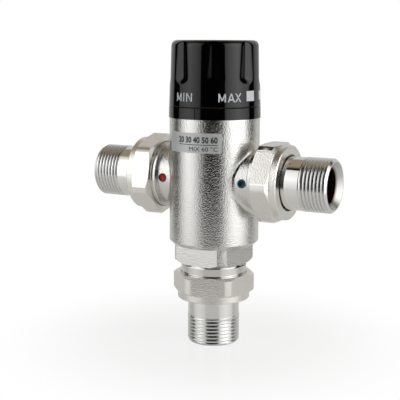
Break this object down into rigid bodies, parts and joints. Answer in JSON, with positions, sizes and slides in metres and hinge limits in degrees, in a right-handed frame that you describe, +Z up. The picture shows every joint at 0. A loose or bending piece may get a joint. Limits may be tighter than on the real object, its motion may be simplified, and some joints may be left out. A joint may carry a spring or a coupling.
{
  "type": "mixing valve",
  "caption": "Three-port water mixing valve with a round plated body, fluted temperature knob, side inlet unions and a bottom outlet union.",
  "frame": {"origin": "on the valve's vertical axis, at the outlet tailpiece's end face", "axes": "+Z up the valve's axis to the knob, +X along the ports towards the cold inlet, the index mark and label face -Y"},
  "size_m": [0.1286, 0.0458, 0.1533],
  "materials": {
    "plated_casting": "satin, shot-blasted nickel plate",
    "plated_turning": "bright turned nickel plate",
    "black_plastic": "gloss black",
    "label_foil": "silver foil with dark print",
    "red_mark": "red",
    "blue_mark": "blue",
    "raw_brass": "turned",
    "spring_steel": "drawn wire",
    "fibre": "pressed fibre",
    "seal_rubber": "moulded",
    "white_plastic": "moulded acetal",
    "copper": "copper cup"
  },
  "bodies": {
    "valve": {"valve_body": "plated_casting", "bonnet": "raw_brass", "bonnet_o_ring": "seal_rubber", "index_ring": "black_plastic", "label_plate": "label_foil", "hot_mark": "red_mark", "cold_mark": "blue_mark", "hot_seat_ring": "raw_brass", "return_spring": "spring_steel", "outlet_washer": "fibre", "cold_washer": "fibre", "hot_washer": "fibre", "cold_check_cage": "white_plastic", "hot_check_cage": "white_plastic", "cold_check_spring": "spring_steel", "hot_check_spring": "spring_steel", "cold_strainer": "spring_steel", "hot_strainer": "spring_steel"},
    "handle": {"knob": "black_plastic", "knob_cap": "black_plastic", "knob_screw": "spring_steel", "spindle": "raw_brass", "spindle_circlip": "spring_steel", "spindle_o_ring_lower": "seal_rubber", "spindle_o_ring_upper": "seal_rubber"},
    "carrier": {"overload_carrier": "raw_brass", "overload_retainer": "spring_steel", "overload_pin_cap": "raw_brass", "overload_spring": "spring_steel", "element_pin": "spring_steel"},
    "regulator": {"shuttle": "white_plastic", "shuttle_o_ring": "seal_rubber", "wax_element": "copper"},
    "cold_check": {"cold_check_poppet": "white_plastic"},
    "hot_check": {"hot_check_poppet": "white_plastic"},
    "outlet_tail": {"outlet_tailpiece": "plated_turning"},
    "outlet_nut": {"outlet_union_nut": "plated_turning"},
    "cold_tail": {"cold_tailpiece": "plated_turning"},
    "cold_nut": {"cold_union_nut": "plated_turning"},
    "hot_tail": {"hot_tailpiece": "plated_turning"},
    "hot_nut": {"hot_union_nut": "plated_turning"}
  },
  "joints": [
    {"name": "knob_turn", "type": "hinge", "parent": "valve", "child": "handle", "pos_m": [0, 0, 0.125], "axis": [0, 0, 1], "range_deg": [0, 315]},
    {"name": "carrier_lift", "type": "slide", "parent": "valve", "child": "carrier", "axis": [0, 0, 1], "range_m": [0, 0.00262], "deforming": ["return_spring"]},
    {"name": "element_stroke", "type": "slide", "parent": "carrier", "child": "regulator", "axis": [0, 0, 1], "range_m": [0, 0.0019], "deforming": ["return_spring"]},
    {"name": "cold_check_open", "type": "slide", "parent": "valve", "child": "cold_check", "axis": [-1, 0, 0], "range_m": [0, 0.003], "stiffness_N_per_m": 50, "springref_m": -0.003, "deforming": ["cold_check_spring"]},
    {"name": "hot_check_open", "type": "slide", "parent": "valve", "child": "hot_check", "axis": [1, 0, 0], "range_m": [0, 0.003], "stiffness_N_per_m": 50, "springref_m": -0.003, "deforming": ["hot_check_spring"]},
    {"name": "outlet_tail_draw", "type": "slide", "parent": "valve", "child": "outlet_tail", "axis": [0, 0, -1], "range_m": [0, 0.00692]},
    {"name": "outlet_nut_unscrew", "type": "hinge", "parent": "outlet_tail", "child": "outlet_nut", "pos_m": [0, 0, 0.0299], "axis": [0, 0, -1], "range_deg": [0, 1080]},
    {"name": "cold_tail_draw", "type": "slide", "parent": "valve", "child": "cold_tail", "axis": [1, 0, 0], "range_m": [0, 0.00692]},
    {"name": "cold_nut_unscrew", "type": "hinge", "parent": "cold_tail", "child": "cold_nut", "pos_m": [0.0344, 0, 0.0849], "axis": [1, 0, 0], "range_deg": [0, 1080]},
    {"name": "hot_tail_draw", "type": "slide", "parent": "valve", "child": "hot_tail", "axis": [-1, 0, 0], "range_m": [0, 0.00692]},
    {"name": "hot_nut_unscrew", "type": "hinge", "parent": "hot_tail", "child": "hot_nut", "pos_m": [-0.0344, 0, 0.0849], "axis": [-1, 0, 0], "range_deg": [0, 1080]}
  ],
  "couplings": [
    {"joint": "knob_turn", "follows": "carrier_lift", "rad_per_m": 2094.4},
    {"joint": "outlet_nut_unscrew", "follows": "outlet_tail_draw", "rad_per_m": 2721.2},
    {"joint": "cold_nut_unscrew", "follows": "cold_tail_draw", "rad_per_m": 2721.2},
    {"joint": "hot_nut_unscrew", "follows": "hot_tail_draw", "rad_per_m": 2721.2}
  ]
}
